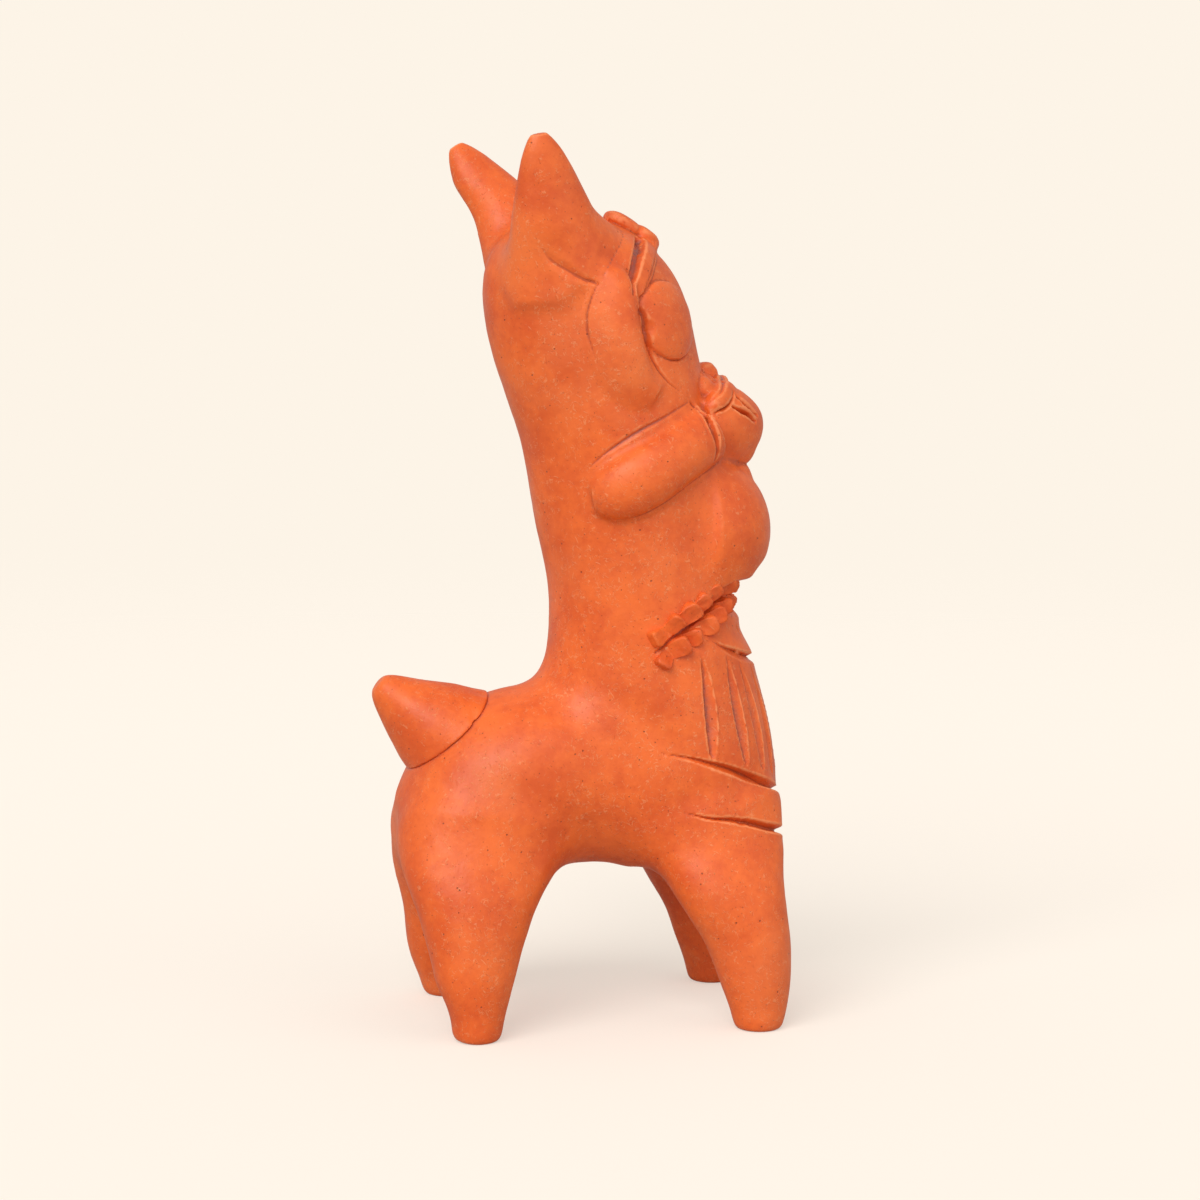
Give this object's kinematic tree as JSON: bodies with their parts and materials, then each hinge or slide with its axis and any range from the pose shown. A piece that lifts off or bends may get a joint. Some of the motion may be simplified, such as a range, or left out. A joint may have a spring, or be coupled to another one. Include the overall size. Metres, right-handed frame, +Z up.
{
  "type": "terracotta horse figure",
  "caption": "Upright terracotta folk horse on short conical legs, with leaf ears, a pull-out plug tail, raised forearms, plaited belt and pleated apron. Stands free as an ornament.",
  "frame": {"origin": "centre of the bounding box on the floor plane under the feet", "axes": "+X is the way the figure faces, +Y is its left, +Z is up"},
  "size_m": [0.0825, 0.0526, 0.175],
  "materials": {
    "terracotta": "unglazed fired clay, burnished to a satin, with pinholes and fine scratches"
  },
  "bodies": {
    "figure": {"barrel": "terracotta", "neck_lower": "terracotta", "neck_upper": "terracotta", "head": "terracotta", "right_ear": "terracotta", "left_ear": "terracotta", "right_front_leg": "terracotta", "left_front_leg": "terracotta", "right_rear_leg": "terracotta", "left_rear_leg": "terracotta", "rear_strap": "terracotta", "front_strap": "terracotta", "headband_knot": "terracotta", "right_eye": "terracotta", "left_eye": "terracotta", "right_side_lock": "terracotta", "left_side_lock": "terracotta", "nose": "terracotta", "lip": "terracotta", "right_forearm": "terracotta", "left_forearm": "terracotta", "right_hand": "terracotta", "left_hand": "terracotta", "belly": "terracotta", "plaited_belt": "terracotta", "belt_tab": "terracotta", "apron": "terracotta", "hem_band": "terracotta"},
    "tail": {"tail": "terracotta"}
  },
  "joints": [
    {"name": "tail_lift", "type": "slide", "parent": "figure", "child": "tail", "axis": [-0.7934, 0, 0.6088], "range_m": [0, 0.014]}
  ]
}
